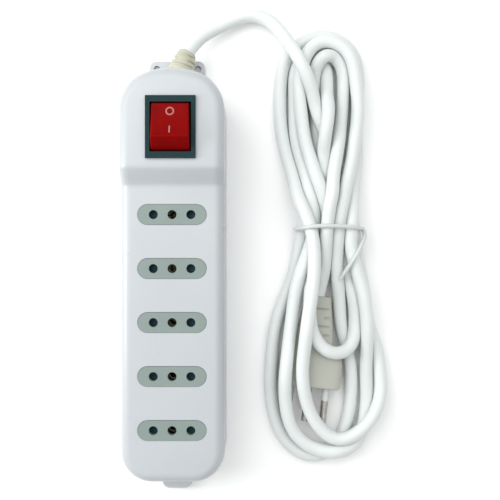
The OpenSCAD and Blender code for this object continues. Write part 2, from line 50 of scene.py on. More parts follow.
CASING_W = 53
CASING_END = 105
OUTLET_DECK = 31
SWITCH_DECK = 38
WALL = 2
EDGE_R = 5.5
BASE_T = 3
FOOT_R = 16
HEAD_R = 20
CROWN_R = 40
SLOPE_Y = 46.2
SLOPE_RUN = 8.1
PITCH = 27.3
OUTLET_YS = [31.3 - PITCH * i for i in range(5)]
INSERT_W = 34.6
INSERT_H = 10.1
SWITCH_Y = 74.4
AXLE_Z = 33
REST_TILT = math.radians(-15)
ROCKER_BOTTOM = 1.5
ROCKER_TOP = 10.4
ROCKER_HALF_L = 12.7
DISH_R = 60
DISH_DEPTH = 0.6
CORD_D = 7
CORD_R = CORD_D / 2
CORD_EXIT = (2.5, 105, 12.5)
LEAN = math.radians(-8)
TIE_D = 2.2
WAIST_Y = 25
PLUG_AT = (76.3, -11.2)
PLUG_TURN = math.radians(-6.4)
PLUG_T = 13.5
PLUG_L = 48.6
PLUG_W = 33.4
GROOVE_W = 1.2
GROOVE_PITCH = 4.6


# ---- Camera, lights and floor ----

CAMERA_AT = (39.4, 13.4, 400)
LENS_MM = 52.6


def add_camera():
    """Camera that looks straight down, as a new one does."""
    data = bpy.data.cameras.new("camera")
    data.lens = LENS_MM
    data.sensor_width = 36
    data.clip_start = 0.01
    camera = bpy.data.objects.new("camera", data)
    camera.location = [c * MM for c in CAMERA_AT]
    bpy.context.collection.objects.link(camera)
    bpy.context.scene.camera = camera


def add_light(name, place, size, watts, aim):
    data = bpy.data.lights.new(name, "AREA")
    data.size = size
    data.energy = watts
    light = bpy.data.objects.new(name, data)
    light.location = place
    light.rotation_euler = (Vector(aim) - Vector(place)).to_track_quat("-Z", "Y").to_euler()
    bpy.context.collection.objects.link(light)


def add_studio():
    """Soft light from the upper left and from above, a low strip on the left, and a pale sky."""
    middle = (0.04, 0.01, 0.01)
    add_light("key", (-0.45, 0.35, 0.7), 0.7, 4.1, middle)
    add_light("top", (0.35, 0.35, 1.1), 1.2, 5.5, middle)
    add_light("left_strip", (-0.5, 0.0, 0.24), 0.22, 1.5, (-0.02, 0, 0.03))
    world = bpy.data.worlds.new("studio")
    world.use_nodes = True
    background = world.node_tree.nodes["Background"]
    background.inputs["Color"].default_value = (0.99, 1, 1, 1)
    background.inputs["Strength"].default_value = 0.60
    bpy.context.scene.world = world
    bpy.context.scene.view_settings.view_transform = "Standard"


def add_floor():
    """Plain pale floor, just under the strip."""
    mesh = bpy.data.meshes.new("floor")
    half = 3
    mesh.from_pydata([(-half, -half, 0), (half, -half, 0), (half, half, 0), (-half, half, 0)],
                     [], [(0, 1, 2, 3)])
    floor = bpy.data.objects.new("floor", mesh)
    floor.location.z = -0.0002
    material = bpy.data.materials.new("floor_white")
    material.use_nodes = True
    shader = material.node_tree.nodes["Principled BSDF"]
    shader.inputs["Base Color"].default_value = (0.97, 0.97, 0.97, 1)
    shader.inputs["Roughness"].default_value = 0.9
    mesh.materials.append(material)
    bpy.context.collection.objects.link(floor)


# ---- Materials ----

class Nodes:
    """A material's node tree, with short ways to add what the materials here need."""

    def __init__(self, name):
        self.material = bpy.data.materials.new(name)
        self.material.use_nodes = True
        self.tree = self.material.node_tree
        self.shader = self.tree.nodes["Principled BSDF"]
        coordinates = self.tree.nodes.new("ShaderNodeTexCoord")
        self.place = coordinates.outputs["Object"]

    def link(self, output, socket):
        self.tree.links.new(output, socket)

    def noise(self, scale, detail=3, roughness=0.5, place=None):
        node = self.tree.nodes.new("ShaderNodeTexNoise")
        node.inputs["Scale"].default_value = scale
        node.inputs["Detail"].default_value = detail
        node.inputs["Roughness"].default_value = roughness
        self.link(place or self.place, node.inputs["Vector"])
        return node.outputs["Fac"]

    def stretched(self, scales):
        node = self.tree.nodes.new("ShaderNodeMapping")
        node.inputs["Scale"].default_value = scales
        self.link(self.place, node.inputs["Vector"])
        return node.outputs["Vector"]

    def ramp(self, value, low, high, span=(0.3, 0.7)):
        node = self.tree.nodes.new("ShaderNodeValToRGB")
        node.color_ramp.elements[0].position = span[0]
        node.color_ramp.elements[1].position = span[1]
        node.color_ramp.elements[0].color = low
        node.color_ramp.elements[1].color = high
        self.link(value, node.inputs["Fac"])
        return node.outputs["Color"]

    def spread(self, value, low, high):
        node = self.tree.nodes.new("ShaderNodeMapRange")
        node.inputs["To Min"].default_value = low
        node.inputs["To Max"].default_value = high
        self.link(value, node.inputs["Value"])
        return node.outputs["Result"]

    def add(self, first, second, share):
        node = self.tree.nodes.new("ShaderNodeMath")
        node.operation = "MULTIPLY_ADD"
        self.link(second, node.inputs[0])
        node.inputs[1].default_value = share
        self.link(first, node.inputs[2])
        return node.outputs["Value"]

    def bump(self, height, distance, strength=1.0):
        node = self.tree.nodes.new("ShaderNodeBump")
        node.inputs["Distance"].default_value = distance
        node.inputs["Strength"].default_value = strength
        self.link(height, node.inputs["Height"])
        self.link(node.outputs["Normal"], self.shader.inputs["Normal"])

    def set(self, **values):
        for name, value in values.items():
            self.shader.inputs[name.replace("_", " ")].default_value = value


def shade(colour, factor):
    return tuple(min(c * factor, 1) for c in colour) + (1,)


def plastic(name, colour, gloss, grain=0.00002, grain_scale=1500, mottle=0.05, mottle_scale=45,
            **values):
    """Moulded plastic: cloudy colour, fine spark-eroded grain, and gloss that wanders a little."""
    n = Nodes(name)
    cloud = n.noise(mottle_scale, 4, 0.6)
    n.link(n.ramp(cloud, shade(colour, 1 - mottle), shade(colour, 1 + mottle)),
           n.shader.inputs["Base Color"])
    wear = n.noise(mottle_scale * 1.5, 2, 0.45)
    n.link(n.spread(wear, gloss - 0.03, gloss + 0.05), n.shader.inputs["Roughness"])
    fine = n.noise(grain_scale, 2, 0.6)
    n.bump(n.add(fine, cloud, 0.8), grain, 0.6)
    n.set(**values)
    return n.material


def metal(name, colour, gloss, brush=(30, 30, 900)):
    """Bare metal with fine drawn lines along its short brush axes and faint tarnish."""
    n = Nodes(name)
    lines = n.noise(8, 4, 0.7, n.stretched(brush))
    tarnish = n.noise(160, 5, 0.65)
    n.link(n.ramp(tarnish, shade(colour, 0.8), shade(colour, 1.08)), n.shader.inputs["Base Color"])
    n.link(n.spread(lines, gloss - 0.08, gloss + 0.14), n.shader.inputs["Roughness"])
    n.bump(n.add(lines, tarnish, 0.5), 0.00002, 0.5)
    n.set(Metallic=1.0)
    return n.material


MATERIALS = {
    "casing": plastic("casing_abs", (0.475, 0.500, 0.520), 0.28, mottle=0.012),
    "casing_base": plastic("base_abs", (0.485, 0.51, 0.53), 0.38, mottle=0.015),
    "insert": plastic("insert_pc", (0.225, 0.278, 0.258), 0.46, grain=0.00005, mottle=0.035,
                      Specular_IOR_Level=0.35),
    "shutter": plastic("shutter_pom", (0.006, 0.040, 0.052), 0.5, mottle=0.08, Specular_IOR_Level=0.2),
    "bezel": plastic("bezel_nylon", (0.009, 0.032, 0.036), 0.5, grain=0.00003, mottle=0.10,
                     Specular_IOR_Level=0.14),
    "rocker": plastic("rocker_pc", (0.205, 0.0006, 0.0004), 0.42, mottle=0.16, mottle_scale=90,
                      Specular_IOR_Level=0.05, Subsurface_Weight=0.2, Subsurface_Scale=0.002),
    "mark": plastic("mark_paint", (0.38, 0.125, 0.115), 0.5, mottle=0.05),
    "nylon": plastic("plunger_nylon", (0.72, 0.72, 0.66), 0.45, mottle=0.04),
    "clamp": plastic("clamp_nylon", (0.02, 0.02, 0.022), 0.45, mottle=0.1),
    "lamp_glass": plastic("lamp_glass", (0.8, 0.5, 0.3), 0.12, grain=0.000005, Transmission_Weight=0.7),
    "strain_relief": plastic("relief_pvc", (0.47, 0.475, 0.37), 0.5, grain=0.00006, grain_scale=900,
                             mottle=0.04),
    "cord": plastic("lead_pvc", (0.70, 0.735, 0.725), 0.42, grain=0.00004, grain_scale=700,
                    mottle=0.018, mottle_scale=30, Specular_IOR_Level=0.4),
    "tie": plastic("tie_pvc", (0.60, 0.63, 0.62), 0.4, grain=0.00004, mottle=0.03),
    "plug": plastic("plug_pvc", (0.43, 0.44, 0.385), 0.45, grain=0.00005, grain_scale=1100,
                    mottle=0.03),
    "pin_sleeve": plastic("sleeve_pbt", (0.62, 0.66, 0.66), 0.4, mottle=0.03),
    "wire_brown": plastic("core_brown", (0.10, 0.045, 0.02), 0.4, mottle=0.06),
    "wire_blue": plastic("core_blue", (0.02, 0.09, 0.36), 0.4, mottle=0.06),
    "wire_green": plastic("core_green", (0.16, 0.36, 0.05), 0.4, mottle=0.1),
    "steel": metal("zinc_steel", (0.60, 0.61, 0.62), 0.3),
    # brass colour made darker and greyer than bare brass: painted shade for the contacts deep inside
    # the earth holes
    "brass": metal("sheet_brass_painted_shade", (0.34, 0.34, 0.24), 0.5, brush=(20, 20, 140)),
    "pin_nickel": metal("nickel_pin", (0.58, 0.56, 0.52), 0.24),
}


# ---- Mesh helpers ----

def linked(name, data):
    piece = bpy.data.objects.new(name, data)
    bpy.context.collection.objects.link(piece)
    return piece


def new_piece(name, data, slot, body="casing", place=None, paint=None):
    """Visible piece on a body, painted as its slot unless a paint of its own is given."""
    piece = linked(name, data)
    data.materials.append(MATERIALS[paint or slot])
    if place:
        piece.matrix_world = place
    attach(piece, body)
    return piece


def mesh_of(name, points, faces, smooth_angle=35):
    """Mesh from points in millimetres, with faces shaded smooth below an angle."""
    mesh = bpy.data.meshes.new(name)
    mesh.from_pydata([tuple(c * MM for c in p) for p in points], [], faces)
    bm = bmesh.new()
    bm.from_mesh(mesh)
    bmesh.ops.recalc_face_normals(bm, faces=bm.faces)
    bm.to_mesh(mesh)
    bm.free()
    set_shading(mesh, smooth_angle)
    return mesh


def set_shading(mesh, angle):
    mesh.polygons.foreach_set("use_smooth", [True] * len(mesh.polygons))
    mesh.set_sharp_from_angle(angle=math.radians(angle))


def applied(piece, angle=35):
    """Replaces the piece's mesh by its evaluated one, and drops its modifiers."""
    graph = bpy.context.evaluated_depsgraph_get()
    mesh = bpy.data.meshes.new_from_object(piece.evaluated_get(graph))
    piece.modifiers.clear()
    piece.data = mesh
    set_shading(mesh, angle)


def bevel(piece, width, segments=3, angle=30):
    modifier = piece.modifiers.new("bevel", "BEVEL")
    modifier.width = width * MM
    modifier.segments = segments
    modifier.limit_method = "ANGLE"
    modifier.angle_limit = math.radians(angle)
    modifier.harden_normals = False


def ring_faces(rows, count, closed_ends=True):
    """Quads between successive rings of count points, and a face on each end ring."""
    faces = [(r * count + k, r * count + (k + 1) % count,
              (r + 1) * count + (k + 1) % count, (r + 1) * count + k)
             for r in range(rows - 1) for k in range(count)]
    if closed_ends:
        faces += [tuple(range(count))[::-1], tuple((rows - 1) * count + k for k in range(count))]
    return faces


# ---- Mains lead ----

# Route of the lead's middle, in millimetres, run by run. Heights only say what passes over what:
# the lead then settles under its own weight.
ROUTE = [
    # out of the strain relief, down to the floor and up over the hank's first loops
    (1.4, 97, 12.5), (2.5, 105, 12.5), (3.9, 111.9, 12.5), (6.6, 118.4, 12.4), (10.4, 124.2, 11.6),
    (15.5, 128.9, 9.9), (21.5, 132.7, 7.4), (28.5, 136.2, 5.2), (35.5, 139, 4), (42, 139.8, 4),
    (51, 135.5, 6), (58, 127, 11),
    (64, 117, 16), (68, 108, 18), (72, 99, 14), (75, 89, 11.5), (78.5, 78, 10.5), (83, 65, 7),
    (88, 49, 4), (92.5, 35, 5), (94.5, 25, 6),
    # down the right side, round the foot, and up over the plug
    (97, 3, 3.5), (100, -12, 3.5), (104, -30, 3.5), (108, -40, 3.5), (109, -52, 3.5),
    (110, -60, 3.5), (107.5, -70, 5), (101, -80, 10), (87, -87.5, 12), (74.5, -78, 13),
    (68.5, -63, 17), (67, -50, 19), (68, -38, 20), (70, -20, 22), (73, 2, 15), (73, 15, 12.5),
    (72, 25, 12),
    # left side of the upper lobe, over its top and down its right side
    (66, 45, 11), (61, 60, 6), (58, 71, 4), (56, 84, 3.5), (56, 101, 3.5), (58, 112, 3.5),
    (62, 120, 3.5), (67, 124.5, 3.5), (71, 127, 3.5), (77, 128.5, 3.5), (82, 128.5, 3.5),
    (88, 126, 3.5), (94, 121, 3.5), (97, 113, 3.5), (98, 103, 3.5), (97, 84, 3.5), (97, 64, 4),
    (95, 50, 7), (94, 40, 10), (93, 25, 12),
    # second turn of the lower lobe
    (93.5, 12, 11), (97, 0, 10.5), (101, -19, 10.5), (102, -40, 8), (102, -52, 4), (102.5, -62, 3.5),
    (102, -73, 3.5), (99, -86, 5), (94, -91.5, 9), (85, -94, 10.5), (77, -93, 10.5), (70, -90, 9),
    (65, -85.5, 10), (61, -79, 12.5), (59, -71, 13.5), (58, -63, 16), (58, -53, 17.5),
    (59, -43, 17), (61, -28, 13), (63.5, -11, 11), (66.5, 0, 10), (74, 25, 5.7),
    # inner left run, small top loop, and down the middle over the lead
    (72, 46, 4), (68, 60, 3.5), (65, 71, 3.5), (64, 80, 3.5), (63.8, 93, 3.5), (64, 104, 3.5),
    (65.3, 112, 3.5), (68.3, 117, 3.5), (72.4, 119, 3.5), (76.6, 117, 4), (79.4, 112, 6.5),
    (80, 105, 10), (79.3, 97, 14), (78.8, 87, 18), (78.3, 77, 18.5), (78, 66, 16.5),
    (78.6, 54, 12), (80, 43, 8), (88, 25, 5.7),
    # short hook of the lower lobe, over the plug
    (92.3, 8, 3.5), (96, -10, 3.5), (96.6, -20, 4), (96, -29, 8), (94, -35.5, 12), (90, -39.5, 16),
    (85.5, -41, 18), (81, -40, 18), (77, -37.5, 18), (74, -33.5, 18), (71.5, -28, 17.5),
    (71, -19, 17), (71.5, -6, 14), (74, 9, 7), (81, 25, 5.7),
    # third left run, outer top loop and right side, on top of the first
    (75, 46, 9), (72, 59, 10.5), (69, 70, 10.5), (67.5, 80, 10.5), (66, 93, 10.5), (66, 106, 11),
    (68, 114, 11), (72, 121, 11), (77, 124, 11), (83, 124, 11), (90, 120, 11), (93.5, 114, 11),
    (95.5, 105, 11), (97, 89, 11), (96, 78, 11), (94, 63, 11), (91, 49, 11.5), (89.5, 40, 12),
    (87, 25, 12),
    # widest turn of the lower lobe
    (86, 8, 10.5), (87, -6, 8), (88, -20, 5), (89.5, -31, 3.5), (92, -40, 3.5), (94, -51, 3.5),
    (94, -63, 3.5), (93, -73, 3.5), (90.5, -83, 3.5), (85.5, -92, 3.5), (78, -97, 3.5),
    (70, -97, 3.5), (62, -92.5, 3.5), (56, -85, 3.5), (52, -73, 3.5), (50.5, -57, 3.5),
    (52, -36, 3.5), (54, -25, 3.5), (58.5, -11, 3.5), (62.5, -1, 3.5), (68.2, 25, 5.7),
    # up the middle, small top arc, and back down to the plug
    (70.5, 36, 3.5), (74, 46, 3.5), (77, 62, 3.5), (77, 79, 3.5), (75.5, 92, 3.5), (74.6, 101, 5),
    (75, 109, 9), (77.5, 115, 11.5), (82, 117.8, 12), (86.7, 115, 11), (89.2, 109, 8),
    (89.6, 100, 4.5), (89, 92, 3.5), (87.8, 81, 4), (85.6, 68, 8), (83, 53, 11.5), (81.2, 40, 12.5),
    (80, 25, 12),
    (79.5, 14, 10), (78.3, 2, 8), (77, -7, 6.75), (75.7, -15.5, 6.75),
]
SPACING = 3.0
# Runs to the right of this belong to the hank
HANK_LEFT = 40
# Tightest bend that the lead takes up and down, as it settles
STIFF_R = 34.0


def catmull(points, per_span=12):
    """Smooth line through points."""
    p = np.array(points, float)
    p = np.vstack([2 * p[0] - p[1], p, 2 * p[-1] - p[-2]])
    t = np.linspace(0, 1, per_span, endpoint=False)[:, None]
    line = []
    for a, b, c, d in zip(p[:-3], p[1:-2], p[2:-1], p[3:]):
        line.append(0.5 * (2 * b + (c - a) * t + (2 * a - 5 * b + 4 * c - d) * t ** 2
                           + (3 * b - a - 3 * c + d) * t ** 3))
    return np.vstack(line + [p[-2:-1]])


def evenly(line, step):
    """The same line with points a step apart."""
    run = np.r_[0, np.cumsum(np.linalg.norm(np.diff(line, axis=0), axis=1))]
    at = np.linspace(0, run[-1], int(round(run[-1] / step)) + 1)
    return np.column_stack([np.interp(at, run, line[:, k]) for k in range(3)])


def eased(line, keep, rounds=30):
    """Takes out small waves and leaves the long bends as they are. The points in keep stay put."""
    p = line.copy()
    moving = ~keep[1:-1, None]
    for _ in range(rounds):
        for share in (0.5, -0.53):
            p[1:-1] += share * moving * ((p[:-2] + p[2:]) / 2 - p[1:-1])
    return p


def push_out_of_box(p, middle, half, turn, clearance):
    """How far each point moves to lie clear of a rounded box turned about Z."""
    c, s = math.cos(turn), math.sin(turn)
    spin = np.array([[c, s, 0], [-s, c, 0], [0, 0, 1]])
    local = (p - middle) @ spin.T
    q = np.abs(local) - half
    outside = np.maximum(q, 0)
    length = np.linalg.norm(outside, axis=1)
    inside = np.minimum(q.max(axis=1), 0)
    direction = outside / np.maximum(length, 1e-6)[:, None]
    deepest = np.eye(3)[q.argmax(axis=1)]
    direction = np.where((length > 1e-6)[:, None], direction, deepest) * np.sign(local)
    push = np.maximum(clearance - (length + inside), 0)
    return (direction * push[:, None]) @ spin


def plug_point(x, y, z):
    """Row place of a point given in the plug's own directions."""
    c, s = math.cos(PLUG_TURN), math.sin(PLUG_TURN)
    return np.array([PLUG_AT[0] + c * x - s * y, PLUG_AT[1] + s * x + c * y, z])


# Middle and half sides of boxes that the lead rests on: the plug's neck, its head and its pins.
# Each box is rounded, and reaches BOX_ROUND further than its half sides say.
BOX_ROUND = 2.0
PLUG_BOXES = [
    (plug_point(0, -12, PLUG_T / 2), np.array([6, 11, 2.8])),
    (plug_point(0, -27, PLUG_T / 2), np.array([8, 9, 4.2])),
    (plug_point(0, -40.5, PLUG_T / 2),
     np.array([PLUG_W / 2 - BOX_ROUND, 6.3, PLUG_T / 2 - BOX_ROUND])),
    (plug_point(0, -58, PLUG_T / 2), np.array([9.5, 9.5, 0.1])),
]


def floor_under(p):
    """Lowest height of the lead's middle: the tie's lower strand lifts the waist a little."""
    near = np.clip(1 - np.abs(p[:, 1] - WAIST_Y) / 16, 0, 1)
    hump = near ** 2 * (3 - 2 * near)
    return CORD_R + TIE_D * hump * (p[:, 0] > HANK_LEFT)


def touching(p):
    """Pairs of points on different runs of the lead that are near each other."""
    apart = int(round(3.2 * CORD_D / SPACING))
    far = ((p[:, None, :] - p[None, :, :]) ** 2).sum(axis=2)
    a, b = np.nonzero(far < (CORD_D + 2) ** 2)
    keep = b - a > apart
    return a[keep], b[keep]


def push_apart(p, a, b, free):
    """Moves apart the pairs that are closer than the lead is thick, mostly one over the other."""
    gap = p[b] - p[a]
    size = np.linalg.norm(gap, axis=1)
    target = CORD_D + 0.04
    close = size < target
    mostly_up = np.array([0.35, 0.35, 1])
    way = gap[close] * mostly_up
    way /= np.linalg.norm(way, axis=1)[:, None]
    push = way * (0.5 * (target - size[close]))[:, None]
    move = np.zeros_like(p)
    share = np.zeros(len(p))
    for ends, sign in ((a[close], -1), (b[close], 1)):
        np.add.at(move, ends, sign * push)
        np.add.at(share, ends, 1)
    p += move / np.maximum(share, 1)[:, None] * 1.4 * free[:, None]


def settle(start, pinned, rounds=600):
    """Lets the lead sink under its weight, while it keeps its plan, its stiffness and its thickness."""
    p = start.copy()
    free = ~pinned
    # the last points run into the plug, so its boxes don't push them out
    loose = free.copy()
    loose[-8:] = False
    for turn in range(rounds):
        # it sinks fast at first, and hardly at all while it comes to rest
        p[free, 2] -= 0.12 if turn < rounds * 0.7 else 0.01
        if turn % 6 == 0:
            a, b = touching(p)
        for _ in range(3):
            push_apart(p, a, b, free)
        for middle, half in PLUG_BOXES:
            p[loose] += push_out_of_box(p[loose], middle, half, PLUG_TURN, CORD_R + BOX_ROUND)
        # sideways, only a smooth shift of the plan is let through
        shift = p[:, :2] - start[:, :2]
        for _ in range(3):
            shift[1:-1] = (shift[:-2] + 2 * shift[1:-1] + shift[2:]) / 4
        p[free, :2] = start[free, :2] + 0.96 * shift[free]
        # up and down, the lead's stiffness spreads each bump
        for reach, share in ((5, 0.3), (3, 0.3), (1, 0.4)):
            bend = (p[:-2 * reach, 2] + p[2 * reach:, 2]) / 2 - p[reach:-reach, 2]
            most = (reach * SPACING) ** 2 / (2 * STIFF_R)
            over = np.sign(bend) * np.maximum(np.abs(bend) - most, 0) + 0.05 * bend
            p[reach:-reach, 2] += share * over * free[reach:-reach]
        p[free, 2] = np.maximum(p[free, 2], floor_under(p[free]))
    return p


def lead_line():
    """The lead's middle line at rest. Its ends stay where the casing and the plug hold them."""
    start = evenly(catmull(ROUTE), SPACING)
    pinned = np.zeros(len(start), bool)
    pinned[:8] = True
    pinned[-4:] = True
    line = eased(settle(eased(start, pinned), pinned), pinned, 8)
    # easing lets some runs sink into each other, so they are pushed apart once more
    a, b = touching(line)
    for _ in range(25):
        push_apart(line, a, b, ~pinned)
        line[:, 2] = np.maximum(line[:, 2], floor_under(line))
    return eased(line, pinned, 2)


def tube_curve(name, points, radius, closed=False, roundness=4):
    """Tube of a radius along points, all in millimetres."""
    curve = bpy.data.curves.new(name, "CURVE")
    curve.dimensions = "3D"
    curve.bevel_depth = radius * MM
    curve.bevel_resolution = roundness
    curve.use_fill_caps = True
    spline = curve.splines.new("POLY")
    spline.points.add(len(points) - 1)
    flat = np.column_stack([np.array(points) * MM, np.ones(len(points))]).ravel()
    spline.points.foreach_set("co", flat)
    spline.use_cyclic_u = closed
    spline.use_smooth = True
    return curve


def add_lead(line):
    """Lead as one smooth tube, drawn through every other point of its line."""
    every_other = np.vstack([line[:-1:2], line[-1:]])
    smooth = evenly(catmull(every_other, 6), 1.5)
    lead = new_piece("mains_lead", tube_curve("mains_lead", smooth, CORD_R, roundness=6), "cord")
    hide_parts("cord_lead", "cord_hank")
    return lead


def waist_crossings(line):
    """Where the lead's runs cross the tie: x and z of each."""
    y = line[:, 1]
    cut = np.nonzero((y[:-1] - WAIST_Y) * (y[1:] - WAIST_Y) < 0)[0]
    places = []
    for k in cut:
        t = (WAIST_Y - y[k]) / (y[k + 1] - y[k])
        place = line[k] + t * (line[k + 1] - line[k])
        if place[0] > HANK_LEFT:
            places.append((place[0], place[2]))
    return places


def hull(points):
    """Convex hull of points in a plane, anticlockwise."""
    points = sorted(points)

    def half(seq):
        out = []
        for p in seq:
            while len(out) > 1 and ((out[-1][0] - out[-2][0]) * (p[1] - out[-2][1])
                                    - (out[-1][1] - out[-2][1]) * (p[0] - out[-2][0])) <= 0:
                out.pop()
            out.append(p)
        return out[:-1]

    return half(points) + half(points[::-1])


def laid_on(line, plan, radius, first):
    """Points of a stiff wire that starts at a height and then lies on the lead's runs along a plan."""
    runs = evenly(line, 1.0)
    reach = CORD_R + radius + 0.1
    rest = []
    for x, y in plan:
        off = (runs[:, 0] - x) ** 2 + (runs[:, 1] - y) ** 2
        under = off < reach ** 2
        tops = runs[under, 2] + np.sqrt(reach ** 2 - off[under])
        rest.append(tops.max(initial=radius))
    rest[0] = first
    z = np.array(rest)
    for _ in range(400):
        z[1:-1] = np.maximum(rest[1:-1], (z[:-2] + z[2:]) / 2)
    return np.column_stack([plan, z])


def add_tie(line):
    """Plastic-covered wire once round the waist, its end hooked out and laid over the hank."""
    reach = CORD_R + TIE_D / 2 + 0.05
    turns = [math.radians(t) for t in range(0, 360, 15)]
    around = [(x + reach * math.cos(t), max(z + reach * math.sin(t), TIE_D / 2))
              for x, z in waist_crossings(line) for t in turns]
    loop = hull(around)
    places = np.array([(x, WAIST_Y, z) for x, z in loop])
    ring = evenly(np.vstack([places, places[:1]]), 1.5)[:-1]
    left, right = ring[:, 0].min(), ring[:, 0].max()
    across = (ring[:, 0] - left) / (right - left)
    upper = np.clip((ring[:, 2] - 6) / 6, 0, 1)
    ring[:, 1] += upper * (1.7 * np.sin(np.pi * across) ** 2 - 0.4 + 0.3 * np.sin(9 * across))
    for _ in range(4):
        ring = (np.roll(ring, 1, axis=0) + 2 * ring + np.roll(ring, -1, axis=0)) / 4
    band = new_piece("hank_tie", tube_curve("hank_tie", ring, TIE_D / 2, True), "tie")
    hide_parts("cord_tie")
    plan = catmull([(right - 0.3, 25.2, 0), (right + 0.5, 22.9, 0), (right + 0.4, 20.6, 0),
                    (right - 0.9, 17.2, 0), (right - 3.2, 13, 0), (right - 7, 7, 0),
                    (right - 10.4, 1.6, 0), (right - 12.6, -2, 0)], 8)
    tail = laid_on(line, plan[:, :2], TIE_D / 2, 8)
    end = new_piece("hank_tie_tail", tube_curve("hank_tie_tail", tail, TIE_D / 2), "tie")
    return band, end


# ---- Casing ----

def casing_edge(inset, steps=14):
    """Right half of the casing's plan outline, from the foot end to the switch end."""
    points = [(0, -CASING_END + inset)]

    def arc(x, y, r, start, stop, count):
        for k in range(count + 1):
            t = math.radians(start + (stop - start) * k / count)
            points.append((x + r * math.cos(t), y + r * math.sin(t)))

    arc(CASING_W / 2 - FOOT_R, FOOT_R - CASING_END, FOOT_R - inset, -90, 0, steps)
    side = CASING_W / 2 - inset
    points.extend((side, y) for y in (-70, -45, -20, 5, 30, 40))
    points.extend((side, SLOPE_Y - 2.4 + 0.4 * k) for k in range(33))
    points.append((side, 70))
    arc(6.5, 83.9, HEAD_R - inset, 0, 71, steps)
    arc(0, CASING_END - CROWN_R, CROWN_R - inset, 73, 90, 6)
    return points


def deck_height(y):
    def soft_step(t):
        return 0.5 * (t + math.sqrt(t * t + 0.0144))

    t = (y - SLOPE_Y) / SLOPE_RUN
    rise = soft_step(t) - soft_step(t - 1)
    return OUTLET_DECK + (SWITCH_DECK - OUTLET_DECK) * rise


def casing_ring(inset, drop, z=None):
    """Closed ring at an inset from the plan outline, at a height or a drop below the deck."""
    right = casing_edge(inset)
    if z is None:
        right = [(x, y, deck_height(y) - drop) for x, y in right]
    else:
        right = [(x, y, z) for x, y in right]
    left = [(-x, y, h) for x, y, h in right[-2:0:-1]]
    return right + left


def across_faces(first, count):
    """Cap of a ring whose two halves mirror each other: strips straight across."""
    half = count // 2
    faces = [(first, first + 1, first + count - 1)]
    for k in range(1, half - 1):
        faces.append((first + k, first + k + 1, first + count - k - 1, first + count - k))
    faces.append((first + half - 1, first + half, first + half + 1))
    return faces


def cutter(name, outline, low, high, grow=0.0):
    """Temporary prism to cut with: outline(extra) gives its plan, and it widens by grow at the top."""
    levels = [(low, 0.0), (high, 0.0)]
    if grow:
        levels = [(low, 0.0), (high - grow, 0.0), (high + 0.5, grow + 0.5)]
    rows = [[(x, y, z) for x, y in outline(extra)] for z, extra in levels]
    return linked(name, mesh_of(name, sum(rows, []), ring_faces(len(rows), len(rows[0]))))


def stadium(x, y, half_run, r, sides=16):
    def outline(extra):
        return [(x + side * half_run + (r + extra) * math.cos(math.radians(start + 180 * k / sides)),
                 y + (r + extra) * math.sin(math.radians(start + 180 * k / sides)))
                for side, start in ((1, -90), (-1, 90)) for k in range(sides + 1)]
    return outline


def rectangle(x, y, half_w, half_l):
    def outline(extra):
        w, h = half_w + extra, half_l + extra
        return [(x - w, y - h), (x + w, y - h), (x + w, y + h), (x - w, y + h)]
    return outline


def cut(piece, tools):
    """Cuts the tools out of the piece for good, and removes them."""
    for tool in tools:
        modifier = piece.modifiers.new("cut", "BOOLEAN")
        modifier.operation = "DIFFERENCE"
        modifier.solver = "EXACT"
        modifier.object = tool
    bpy.context.view_layer.update()
    applied(piece)
    for tool in tools:
        mesh = tool.data
        bpy.data.objects.remove(tool)
        bpy.data.meshes.remove(mesh)


def out_of_exit():
    """Place whose Z runs out of the cord's exit, along the lead."""
    return (Matrix.Translation([c * MM for c in CORD_EXIT])
            @ Matrix.Rotation(LEAN, 4, "Z") @ Matrix.Rotation(-math.pi / 2, 4, "X"))


def add_casing():
    """Upper shell as a closed wall of even thickness, with soft edges, outlet pockets and two holes."""
    inner_r = EDGE_R - WALL
    seam, chamfer = BASE_T + 0.05, 0.35
    turns = [math.radians(90 * k / 8) for k in range(9)]
    rows = [casing_ring(WALL + inner_r * (1 - math.cos(t)), WALL + inner_r - inner_r * math.sin(t))
            for t in turns[::-1]]
    rows.append(casing_ring(WALL, 0, seam))
    rows.append(casing_ring(chamfer, 0, seam))
    rows.append(casing_ring(0, 0, seam + chamfer))
    rows += [casing_ring(EDGE_R * (1 - math.cos(t)), EDGE_R - EDGE_R * math.sin(t)) for t in turns]
    count = len(rows[0])
    faces = ring_faces(len(rows), count, closed_ends=False)
    faces += across_faces(0, count) + across_faces((len(rows) - 1) * count, count)
    shell = new_piece("upper_casing", mesh_of("upper_casing", sum(rows, []), faces), "casing")
    tools = []
    for k, y in enumerate(OUTLET_YS):
        pocket = stadium(0, y, INSERT_W / 2 - INSERT_H / 2, INSERT_H / 2 + 0.1)
        tools.append(cutter(f"pocket_{k}", pocket, OUTLET_DECK - 4, OUTLET_DECK, 0.3))
    hole_half_w, hole_half_l, exit_r = 11.2, 14.2, 5.05
    switch_plan = rectangle(0, SWITCH_Y, hole_half_w, hole_half_l)
    tools.append(cutter("switch_hole", switch_plan, SWITCH_DECK - 4, SWITCH_DECK + 1))
    exit_hole = cutter("exit_hole", stadium(0, 0, 0, exit_r), -8, 8)
    exit_hole.matrix_world = out_of_exit()
    cut(shell, tools + [exit_hole])
    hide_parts("upper_shell")


# ---- Switch ----

def dish_height(y):
    return ROCKER_TOP + DISH_R - DISH_DEPTH - math.sqrt(DISH_R ** 2 - y * y)


def rocker_place():
    return (Matrix.Translation((0, SWITCH_Y * MM, AXLE_Z * MM))
            @ Matrix.Rotation(REST_TILT, 4, "X"))


def circle(y, r, sides=48):
    return [(r * math.cos(math.tau * k / sides), y + r * math.sin(math.tau * k / sides))
            for k in range(sides)]


def upright(y, half_run, r):
    """Outline of a short upright stroke with round ends."""
    points = []
    for side, start in ((1, 0), (-1, 180)):
        for k in range(13):
            turn = math.radians(start + 15 * k)
            points.append((r * math.cos(turn), y + side * half_run + r * math.sin(turn)))
    return points


